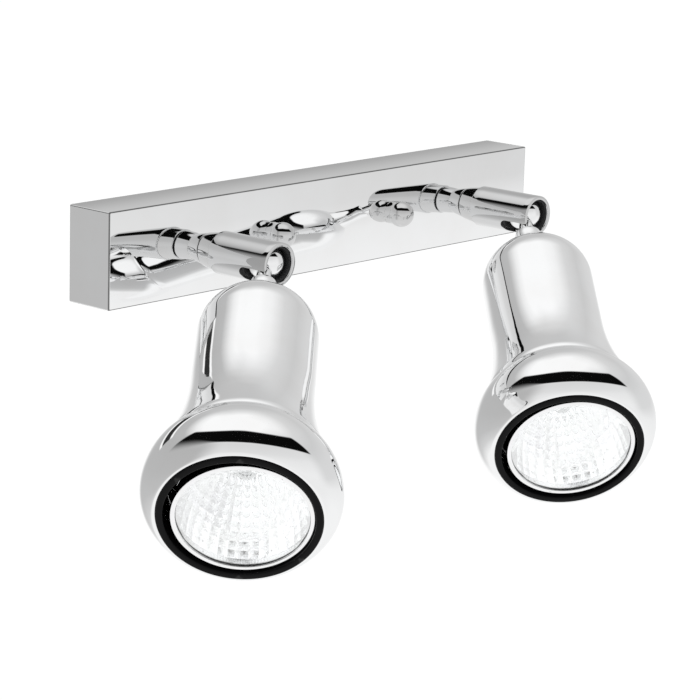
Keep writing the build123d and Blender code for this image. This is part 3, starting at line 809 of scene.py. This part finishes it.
def facet(low, high, number):
    """One small facet between two levels, crowned inwards."""
    low_a, low_b = facet_edge(low, number)
    high_a, high_b = facet_edge(high, number)
    inward = (high_a - low_a).cross(low_b - low_a).normalized()
    shares = [k / FACET_STEPS for k in range(FACET_STEPS + 1)]
    points = []
    for t in shares:
        for s in shares:
            point = low_a.lerp(low_b, s).lerp(high_a.lerp(high_b, s), t)
            crown = FACET_CROWN * (1 - (2 * s - 1) ** 2) * (1 - (2 * t - 1) ** 2)
            points.append(tuple(point + inward * crown))
    across = len(shares)
    rows = [range(v * across, (v + 1) * across) for v in range(across)]
    return points, net(rows, closed=False)


def mirror_back(levels):
    """The mirror's back, a skin's thickness behind the facets and joined to its two edges."""
    steps = FACETS_ROUND * FACET_STEPS
    depths = [0.0] + [MIRROR_SKIN] * len(levels) + [0.0]
    points = []
    for depth, level in zip(depths, [levels[0], *levels, levels[-1]]):
        for k in range(steps):
            number, part = divmod(k, FACET_STEPS)
            start, end = facet_edge(level, number)
            edge = start.lerp(end, part / FACET_STEPS)
            outward = 1 + depth / hypot(edge.x, edge.y)
            points.append((edge.x * outward, edge.y * outward, edge.z))
    rings = [range(i * steps, (i + 1) * steps) for i in range(len(depths))]
    return points, [face[::-1] for face in net(rings)]


def reflector(side):
    """The lamp's bowl: smooth outside, thick rim, neck, and the faceted mirror inside."""
    inner = bowl_curve(LAMP_WALL - MIRROR_BACK)
    outline = joined(
        [inner[0], (LAMP_NECK_RADIUS - LAMP_WALL, LAMP_CAP_END), (LAMP_NECK_RADIUS, LAMP_CAP_END)],
        bowl_curve(0),
        rounded(LAMP_RIM_RADIUS, LAMP_RIM_BACK, LAMP_RIM_BACK_EDGE),
        rounded(LAMP_RIM_RADIUS, LAMP_FRONT, LAMP_RIM_FRONT_EDGE),
        rounded(LAMP_MOUTH_RADIUS, LAMP_FRONT, LAMP_RIM_INNER_EDGE),
        [(LAMP_MOUTH_RADIUS, LAMP_RIM_BACK)],
        inner[::-1],
    )
    shell = lathe(outline, TURN_STEPS)
    head_piece(side, "lamp_bowl", shell, lamp_place, "mirror_glass", "mirror_glass", "lamp_reflector")
    curve = bowl_curve(LAMP_WALL)
    levels = [point_along(curve, i / FACET_ROWS) for i in range(FACET_ROWS + 1)]
    facets = [
        facet(low, high, number)
        for low, high in zip(levels, levels[1:]) for number in range(FACETS_ROUND)
    ]
    mirror = merged(*facets, mirror_back(levels))
    head_piece(side, "lamp_facets", mirror, lamp_place, "mirror_facets", "mirror_glass")


def front_glass(side):
    """The clear disc in the lamp's rim, a little crowned outside, with a rounded edge."""
    radius = LAMP_MOUTH_RADIUS - LAMP_PLAY
    front = LAMP_FRONT - GLASS_RECESS
    back = front - GLASS_HEIGHT
    shares = [k / GLASS_STEPS for k in range(GLASS_STEPS)]
    outline = [(radius * share, front - GLASS_CROWN * share**2) for share in shares]
    outline += rounded(radius, front, GLASS_FRONT_EDGE) + rounded(radius, back, GLASS_BACK_EDGE)
    outline += [(radius / 2, back), (0, back)]
    shape = lathe(outline[::-1], TURN_STEPS, False)
    head_piece(side, "lens", shape, lamp_place, "clear_glass", "clear_glass", "lamp_glass")


def capsule_foot(side):
    """The ceramic foot of the halogen capsule."""
    radius = LAMP_NECK_RADIUS - LAMP_WALL - LAMP_PLAY
    floor = CAPSULE_START - CAPSULE_RECESS
    outline = eased(
        (0, LAMP_CAP_END, 0),
        (radius, LAMP_CAP_END, 0.3),
        (radius, CAPSULE_START, 0.8),
        (CAPSULE_HOLE, CAPSULE_START, 0.2),
        (CAPSULE_HOLE, floor, 0.1),
        (0, floor, 0),
    )
    shape = lathe(outline, looped=False)
    head_piece(side, "capsule_foot", shape, lamp_place, "ceramic", "bakelite", "lamp_capsule")


def capsule(side):
    """The capsule's thin quartz bulb, hollow inside."""
    base = CAPSULE_START - 0.6
    dome = (0, CAPSULE_START + CAPSULE_LENGTH - CAPSULE_RADIUS)
    bore = CAPSULE_RADIUS - CAPSULE_WALL
    outside = [(0, base), (CAPSULE_RADIUS - 0.4, base), (CAPSULE_RADIUS, CAPSULE_START)]
    outside += arc(dome, CAPSULE_RADIUS, 0, QUARTER)
    inside = [(0, CAPSULE_START + 3), (bore, CAPSULE_START + 4)] + arc(dome, bore, 0, QUARTER)
    shape = merged(lathe(outside, looped=False), lathe(inside[::-1], looped=False))
    head_piece(side, "capsule", shape, lamp_place, "capsule_glass", "clear_glass")


def filament(side):
    """The coiled filament and its two leads."""
    low = CAPSULE_START + 3.2
    middle = CAPSULE_START + 8.0
    high = CAPSULE_START + 14.0
    short = [(-1.6, 0, low), (-1.6, 0, middle - 1), (-0.8, 0, middle)]
    long = [(1.9, 0, low), (1.9, 0, high + 0.8), (1.4, 0, high + 1.3), (0.4, 0, high + 0.9)]
    count = FILAMENT_TURNS * FILAMENT_STEPS
    coil = []
    for i in range(count + 1):
        a = 2 * pi * i / FILAMENT_STEPS
        height = middle + (high - middle) * i / count
        coil.append((FILAMENT_RADIUS * cos(a), FILAMENT_RADIUS * sin(a), height))
    shape = merged(
        tube_along(short, LEAD_WIRE),
        tube_along(long, LEAD_WIRE),
        tube_along(coil, FILAMENT_WIRE, 6),
    )
    head_piece(side, "filament", shape, lamp_place, "hot_wire", "lamp_metal")


# Arm

def base_collar(side):
    """The small cone on the bar's face."""
    outline = eased(
        (FOOT_BORE, 0, 0),
        (FOOT_RADIUS, 0, 0.1),
        (FOOT_TOP_RADIUS, FOOT_HEIGHT, CONE_EASE),
        (FOOT_BORE, FOOT_HEIGHT, 0.1),
    )
    place = wall_place(ARM_X[side])
    node = "base_collar_" + side
    mesh_object("foot_" + side, lathe(outline), place, "chrome_painted_shade", "chrome", "bar", node)


def arm_piece(side, name, shape, node):
    """An object of chrome with painted shade that rides an arm."""
    place = arm_place(side)
    body = "arm_" + side
    mesh_object(f"{name}_{side}", shape, place, "chrome_painted_shade", "chrome", body, f"{node}_{side}")


def arm_shoulder(side):
    """The conical shoulder with its spigot and the well of the bolt's head."""
    outline = eased(
        (SHOULDER_BORE, SHOULDER_START, 0.1),
        (SHOULDER_SMALL_RADIUS, SHOULDER_START, CONE_EASE),
        (SHOULDER_LARGE_RADIUS, SHOULDER_END, 0),
        (SPIGOT_RADIUS, SHOULDER_END, 0),
        (SPIGOT_RADIUS, SPIGOT_END, 0.2),
        (SHOULDER_WELL, SPIGOT_END, 0.2),
        (SHOULDER_WELL, SHOULDER_FLOOR, 0.1),
        (SHOULDER_BORE, SHOULDER_FLOOR, 0.1),
    )
    arm_piece(side, "shoulder", lathe(outline), "arm_shoulder")


def slot_half_width(height):
    """Half the neck slot's width at a height: nothing, then a round end, then straight."""
    if height <= SLOT_START:
        return 0.0
    short = max(0.0, SLOT_START + SLOT_HALF - height)
    return sqrt(max(0.0, SLOT_HALF**2 - short**2))


def arm_tube(side):
    """The open tube: rounded back edge, turned-in lip and the slot for the neck."""
    slot_end = arc((0, SLOT_START + SLOT_HALF), SLOT_HALF, -QUARTER, 0, SLOT_STEPS)
    levels = [h for _, h in slot_end] + [*SLOT_LEVELS]
    back_middle = (TUBE_RADIUS - TUBE_BACK_EASE, SHOULDER_END + TUBE_BACK_EASE)
    back = arc(back_middle, TUBE_BACK_EASE, -QUARTER, 0, TUBE_BACK_STEPS)
    front = ARM_LENGTH - TUBE_LIP_HEIGHT
    outer = back + [(TUBE_RADIUS, h) for h in (*TUBE_LEVELS, *levels, ARM_LENGTH - 0.35)]
    mouth = rounded(TUBE_RADIUS, ARM_LENGTH, TUBE_MOUTH_EDGE)
    mouth += rounded(TUBE_LIP_RADIUS, ARM_LENGTH, TUBE_LIP_EDGE)
    mouth += [(TUBE_LIP_RADIUS, front), (TUBE_BORE, front)]
    inner_levels = (*levels[::-1], *TUBE_LEVELS[:0:-1], SHOULDER_END)
    outline = outer + mouth + [(TUBE_BORE, h) for h in inner_levels]
    columns = SMALL_TURN_STEPS * 2
    points = []
    rows = []
    for r, h in outline:
        width = asin(slot_half_width(h) / r)
        count = columns + 1 if width else columns
        row = list(range(len(points), len(points) + count))
        for k in range(count):
            a = width - QUARTER + (2 * pi - 2 * width) * k / columns
            points.append((r * cos(a), r * sin(a), h))
        rows.append(row if width else row + row[:1])
    faces = net(rows, looped=True, closed=False)
    # The slot's sides: walls from the outer to the inner rows, and a cap across the mouth
    first = len(back) + len(TUBE_LEVELS)
    last = first + len(levels)
    behind = len(rows) - 1 - len(TUBE_LEVELS)
    for k, order in ((0, 1), (-1, -1)):
        edge = [row[k] for row in rows]
        for i in range(len(levels)):
            low, high = first + i, behind - i
            wall = (edge[low], edge[low + 1], edge[high - 1], edge[high])
            faces.append(wall[::order])
        faces.append(tuple(edge[last:last + len(mouth) + 1])[::order])
    arm_piece(side, "arm_body", (points, faces), "arm_tube")


# Bar

def cover_ring(inset, depth, corner):
    """Points round the cover at one depth, with each grid line's point on each side."""
    wide = BAR_LENGTH / 2 - inset
    tall = BAR_HEIGHT / 2 - inset
    sides = [
        [(x, -tall) for x in COVER_COLUMNS],
        [(wide, z) for z in COVER_ROWS],
        [(x, tall) for x in COVER_COLUMNS[::-1]],
        [(-wide, z) for z in COVER_ROWS[::-1]],
    ]
    corners = [(wide, -tall), (wide, tall), (-wide, tall), (-wide, -tall)]
    points = []
    for side, (x, z), start in zip(sides, corners, (-QUARTER, 0, QUARTER, pi)):
        points += [(px, depth, pz) for px, pz in side]
        middle = (x - copysign(corner, x), z - copysign(corner, z))
        rounding = arc(middle, corner, start, start + QUARTER, CORNER_STEPS)
        run = [(px, depth, pz) for px, pz in rounding]
        before = Vector((sin(start), 0, -cos(start))) * COVER_FLAT
        after = Vector((-before.z, 0, before.x))
        points += [tuple(Vector(run[0]) + before), *run, tuple(Vector(run[-1]) + after)]
    return points


def cover_face(ring, depth, start):
    """The flat front inside a ring: grid cells, with round holes in the middle row."""
    columns = len(COVER_COLUMNS)
    rows = len(COVER_ROWS)
    corner = CORNER_STEPS + 3
    right = columns + corner
    top = right + rows + corner
    left = top + columns + corner
    points = [(x, depth, z) for x in COVER_COLUMNS for z in COVER_ROWS]

    def at(i, j):
        if j < 0:
            return ring[i]
        if j == rows:
            return ring[top + columns - 1 - i]
        if i < 0:
            return ring[left + rows - 1 - j]
        if i == columns:
            return ring[right + j]
        return start + i * rows + j

    corner_starts = {
        (columns - 1, -1): columns,
        (columns - 1, rows - 1): right + rows,
        (-1, rows - 1): top + columns,
        (-1, -1): left + rows,
    }
    faces = []
    hole_rings = []
    for i in range(-1, columns):
        for j in range(-1, rows):
            if (i, j) in corner_starts:
                first = corner_starts[i, j]
                run = [ring[k % len(ring)] for k in range(first - 1, first + corner + 1)]
                faces.append((at(max(i, 0), max(j, 0)), *run))
                continue
            cell = [at(i, j), at(i + 1, j), at(i + 1, j + 1), at(i, j + 1)]
            if not (0 <= j < rows - 1 and i in COVER_HOLES):
                faces.append(tuple(cell))
                continue
            x, radius = COVER_HOLES[i]
            first = start + len(points)
            for k in range(HOLE_STEPS):
                a = radians(225) + 2 * pi * k / HOLE_STEPS
                points.append((x + radius * cos(a), depth, radius * sin(a)))
            hole = [first + k for k in range(HOLE_STEPS)]
            quarter = HOLE_STEPS // len(cell)
            for k, corner_point in enumerate(cell):
                run = [hole[(k * quarter + m) % HOLE_STEPS] for m in range(quarter + 1)]
                faces.append((corner_point, cell[(k + 1) % len(cell)], *run[::-1]))
            hole_rings.append(hole)
    return points, faces, hole_rings


def bar_cover():
    """The cover of folded sheet: eased folds, open back, holes for the arms and studs."""
    fold = COVER_FOLD
    rim_corner = fold + COVER_CORNER
    outer = [
        (COVER_RIM, 0, fold),
        (0, -COVER_RIM, rim_corner),
        (0, -COVER_RIM - COVER_FLAT, rim_corner),
        (0, COVER_FLAT + fold - BAR_DEPTH, rim_corner),
    ]
    for k in range(FOLD_STEPS + 1):
        a = QUARTER * k / FOLD_STEPS
        depth = fold - BAR_DEPTH - fold * sin(a)
        outer.append((fold * (1 - cos(a)), depth, fold * cos(a) + COVER_CORNER))
    outer.append((fold + COVER_FLAT, -BAR_DEPTH, COVER_CORNER))
    inner = [
        (COVER_SHEET, COVER_SHEET - BAR_DEPTH, COVER_CORNER),
        (COVER_SHEET, -COVER_RIM, COVER_CORNER),
        (COVER_SHEET - COVER_RIM, 0, COVER_CORNER),
    ]
    points = []
    rings = []
    for inset, depth, corner in outer + inner:
        ring = cover_ring(inset, depth, corner)
        rings.append(range(len(points), len(points) + len(ring)))
        points += ring
    front = len(outer) - 1
    faces = net(rings[:front + 1]) + net(rings[front + 1:] + rings[:1])
    sheets = ((rings[front], -BAR_DEPTH), (rings[front + 1], COVER_SHEET - BAR_DEPTH))
    hole_rings = []
    for ring, depth in sheets:
        new_points, new_faces, new_rings = cover_face(ring, depth, len(points))
        points += new_points
        faces += new_faces
        hole_rings.append(new_rings)
    for outside, inside in zip(*hole_rings):
        faces += strip(outside, inside)
    obj = mesh_object("folded_cover", (points, faces), Matrix.Identity(4), "chrome_sheet",
                      "chrome", "bar", "bar_cover")
    shell = bmesh.new()
    shell.from_mesh(obj.data)
    bmesh.ops.recalc_face_normals(shell, faces=shell.faces)
    shell.to_mesh(obj.data)
    shell.free()
    # The rim's two rings and those inside the front's fold count as folded, and get painted shade
    # from the cover's material.
    fold_start = front - FOLD_STEPS
    folded = [0.0] * len(obj.data.vertices)
    for number in (0, 1, *range(fold_start, front - 1)):
        for k in rings[number]:
            folded[k] = 1.0
    obj.data.attributes.new("fold", "FLOAT", "POINT").data.foreach_set("value", folded)


def cap_nuts():
    """Two domed nuts, each a ball on a short collar."""
    drop = sqrt(CAP_DOME_RADIUS**2 - CAP_COLLAR_RADIUS**2)
    outline = [
        (0, CAP_BORE_DEPTH),
        (CAP_BORE_RADIUS, CAP_BORE_DEPTH),
        (CAP_BORE_RADIUS, 0),
        (CAP_COLLAR_RADIUS - CAP_COLLAR_EASE, 0),
        (CAP_COLLAR_RADIUS, CAP_COLLAR_EASE),
    ]
    outline += arc((0, CAP_DOME_LIFT), CAP_DOME_RADIUS, asin(-drop / CAP_DOME_RADIUS), QUARTER)
    points, faces = lathe(outline, looped=False)
    shape = merged(*[([(x + p[0], p[1], p[2]) for p in points], faces) for x in STUD_X])
    mesh_object("domed_nuts", shape, wall_place(0), "chrome_painted_shade", "chrome", "bar", "cap_nuts")


# Studio, in metres and degrees

CAMERA_PLACE = (-0.8129, -0.7602, 0.2096)
CAMERA_YAW = 48.199
CAMERA_PITCH = 13.473
CAMERA_ROLL = 1.768
FOCAL_PIXELS = 2722.77
IMAGE_WIDTH = 700
SENSOR_WIDTH = 36.0
FLOOR_HEIGHT = -1.6
FLOOR_SIZE = 80.0
FLOOR_GREY = (0.62, 0.62, 0.62)
FLOOR_GLOW = 0.41

# What polished metal sees: each zone's greys, as (degrees above the horizon, strength), and
# the azimuths in degrees over which one zone goes over into the next
FRONT_STOPS = (
    (-60, 0.95), (-18, 0.86), (-2, 0.88), (14, 0.82), (22, 0.75), (38, 0.7), (55, 0.8), (72, 1))
SIDE_STOPS = (
    (-30, 0.93), (-14, 0.87), (-4, 0.71), (10, 0.69), (26, 0.62), (46, 0.71), (60, 0.92), (72, 1))
BAR_STOPS = (
    (-16, 1), (-9, 0.95), (-2, 0.6), (6, 0.54), (14, 0.6), (25, 0.54), (40, 0.58), (52, 0.78),
    (62, 1))
REAR_STOPS = (
    (-48, 0.95), (-36, 0.66), (-24, 0.54), (-6, 0.5), (24, 0.48), (36, 0.51), (47, 0.88), (54, 1))
SIDE_EDGE = (28, 55)
BAR_EDGE = (108, 132)
REAR_EDGE = (145, 170)
LEFT_REAR_EDGE = (70, 100)

# The black curtain and the pale and dark strip, in degrees
CURTAIN_MIDDLE = 50
CURTAIN_HALF = 98
CURTAIN_TOP = 72.5
CURTAIN_TOP_DROP = 27
CURTAIN_TOP_EDGE = (-2, 2)
CURTAIN_FOOT = 44
CURTAIN_FOOT_DROP = 22
CURTAIN_FOOT_EDGE = (radians(1), radians(9))
CURTAIN_LIFT = 3
CURTAIN_SOFTER = (75, 125)
CURTAIN_COLOUR = (0.003, 0.003, 0.003)
STRIP_MIDDLE = 167
STRIP_HALF = 22
STRIP_END = 4
STRIP_HEIGHT = 16.5
STRIP_PALE_EDGE = (7.5, 6)
STRIP_DARK_EDGE = (4.5, 3.2)
STRIP_COLOUR = (0.03, 0.03, 0.03)


def camera():
    """The photograph's viewpoint."""
    cam = bpy.data.cameras.new("camera")
    cam.sensor_width = SENSOR_WIDTH
    cam.lens = FOCAL_PIXELS / IMAGE_WIDTH * SENSOR_WIDTH
    cam.clip_start = 0.01
    cam.clip_end = 100
    obj = add_object("camera", cam)
    facing = turn(-CAMERA_YAW, "Z") @ turn(90 - CAMERA_PITCH, "X") @ turn(CAMERA_ROLL, "Z")
    obj.matrix_world = Matrix.Translation(CAMERA_PLACE) @ facing
    bpy.context.scene.camera = obj


def elevation_stops(tree, height, stops):
    """A grey that follows the height above the horizon through (degrees, strength) stops."""
    share = calc(tree, "ADD", calc(tree, "DIVIDE", height, pi), 0.5)
    node = add_node(tree, "ValToRGB", {0: share})
    marks = node.color_ramp.elements
    while len(marks) < len(stops):
        marks.new(0.5)
    for mark, (degrees, strength) in zip(marks, stops):
        mark.position = (degrees + 90) / 180
        mark.color = (strength, strength, strength, 1)
    return node.outputs["Color"]


def angle_ramp(tree, angle, edge, start=0.0, end=1.0):
    """A smooth step while an angle crosses an edge given in degrees."""
    return ramp(tree, angle, radians(edge[0]), radians(edge[1]), start, end)


def curtain(tree, azimuth, left, height):
    """One on the black curtain and zero off it. In second reflections its foot is higher."""
    across = calc(tree, "ADD", azimuth, radians(CURTAIN_MIDDLE))
    across = calc(tree, "DIVIDE", across, radians(CURTAIN_HALF))
    square = calc(tree, "MULTIPLY", across, across)
    top_drop = calc(tree, "MULTIPLY", square, radians(CURTAIN_TOP_DROP))
    foot_drop = calc(tree, "MULTIPLY", square, radians(CURTAIN_FOOT_DROP))
    upper = calc(tree, "SUBTRACT", radians(CURTAIN_TOP), top_drop)
    lower = calc(tree, "SUBTRACT", radians(CURTAIN_FOOT), foot_drop)
    depth = add_node(tree, "LightPath", {}).outputs["Glossy Depth"]
    again = calc(tree, "GREATER_THAN", depth, 1.5)
    lower = calc(tree, "ADD", lower, calc(tree, "MULTIPLY", again, radians(CURTAIN_LIFT)))
    softness = angle_ramp(tree, left, CURTAIN_SOFTER, *CURTAIN_FOOT_EDGE)
    above = calc(tree, "DIVIDE", calc(tree, "SUBTRACT", height, lower), softness)
    below = calc(tree, "SUBTRACT", upper, height)
    return calc(
        tree,
        "MULTIPLY",
        ramp(tree, above, -1.0, 1.0),
        angle_ramp(tree, below, CURTAIN_TOP_EDGE),
        ramp(tree, calc(tree, "ABSOLUTE", across), 1.0, 0.96),
    )


def surroundings(tree, direction):
    """The studio as polished metal sees it: soft greys by direction, a strip and a curtain."""
    x, y, z = components(tree, direction)
    azimuth = calc(tree, "ARCTAN2", x, calc(tree, "MULTIPLY", y, -1.0))
    left = calc(tree, "MULTIPLY", azimuth, -1.0)
    height = calc(tree, "ARCSINE", z)
    front, beside, by_bar, behind = [
        elevation_stops(tree, height, stops)
        for stops in (FRONT_STOPS, SIDE_STOPS, BAR_STOPS, REAR_STOPS)
    ]
    rear = [angle_ramp(tree, azimuth, REAR_EDGE), angle_ramp(tree, left, LEFT_REAR_EDGE)]
    grey = blend(tree, angle_ramp(tree, azimuth, SIDE_EDGE), front, beside)
    grey = blend(tree, angle_ramp(tree, azimuth, BAR_EDGE), grey, by_bar)
    grey = blend(tree, calc(tree, "MAXIMUM", *rear), grey, behind)
    from_strip = calc(tree, "SUBTRACT", azimuth, radians(STRIP_MIDDLE))
    ends = [cos(radians(angle)) for angle in (STRIP_HALF, STRIP_HALF - STRIP_END)]
    along = ramp(tree, calc(tree, "COSINE", from_strip), *ends)
    off = calc(tree, "SUBTRACT", height, radians(STRIP_HEIGHT))
    off = calc(tree, "ABSOLUTE", off)
    for edge, colour in ((STRIP_PALE_EDGE, WHITE), (STRIP_DARK_EDGE, STRIP_COLOUR)):
        inside = calc(tree, "MULTIPLY", along, angle_ramp(tree, off, edge))
        grey = blend(tree, inside, grey, colour)
    return blend(tree, curtain(tree, azimuth, left, height), grey, CURTAIN_COLOUR)


def studio_world():
    """White surroundings, which polished metal sees as a studio of soft greys."""
    world = bpy.data.worlds.new("studio")
    bpy.context.scene.world = world
    world.use_nodes = True
    tree = world.node_tree
    direction = add_node(tree, "TexCoord", {}).outputs["Generated"]
    mirrored = add_node(tree, "LightPath", {}).outputs["Is Glossy Ray"]
    colour = blend(tree, mirrored, WHITE, surroundings(tree, direction))
    set_inputs(tree, tree.nodes["Background"], {"Color": colour, "Strength": 1.0})


def studio_floor():
    """A pale floor that keeps a soft shadow, and which polished metal doesn't see."""
    mesh = bpy.data.meshes.new("floor")
    half = FLOOR_SIZE / 2
    corners = [(-half, -half), (half, -half), (half, half), (-half, half)]
    mesh.from_pydata([(x, y, FLOOR_HEIGHT) for x, y in corners], [], [(0, 1, 2, 3)])
    floor = add_object("floor", mesh)
    material = bpy.data.materials.new("floor_paper")
    material.use_nodes = True
    tree = material.node_tree
    tree.nodes.remove(tree.nodes["Principled BSDF"])
    path = add_node(tree, "LightPath", {}).outputs
    seen = calc(tree, "MAXIMUM", path["Is Camera Ray"], path["Is Transmission Ray"])
    paper = add_node(tree, "BsdfDiffuse", {"Color": FLOOR_GREY})
    glow = add_node(tree, "Emission", {"Strength": calc(tree, "MULTIPLY", seen, FLOOR_GLOW)})
    both = add_node(tree, "AddShader", {0: paper.outputs[0], 1: glow.outputs[0]})
    away = add_node(tree, "VectorMath", {0: object_coordinates(tree)}, operation="NORMALIZE")
    mirrored = add_node(tree, "Emission", {"Color": surroundings(tree, away.outputs[0])})
    choice = {0: path["Is Glossy Ray"], 1: both.outputs[0], 2: mirrored.outputs[0]}
    chosen = add_node(tree, "MixShader", choice)
    set_inputs(tree, tree.nodes["Material Output"], {"Surface": chosen.outputs[0]})
    mesh.materials.append(material)


finish_cad_nodes()
bar_cover()
cap_nuts()
for arm in ARM_X:
    base_collar(arm)
    arm_shoulder(arm)
    arm_tube(arm)
    ball_stud(arm)
    neck_collar(arm)
    shade(arm)
    front_ring(arm)
    reflector(arm)
    front_glass(arm)
    capsule_foot(arm)
    capsule(arm)
    filament(arm)
camera()
studio_world()
studio_floor()
bpy.context.scene.view_settings.view_transform = "Standard"
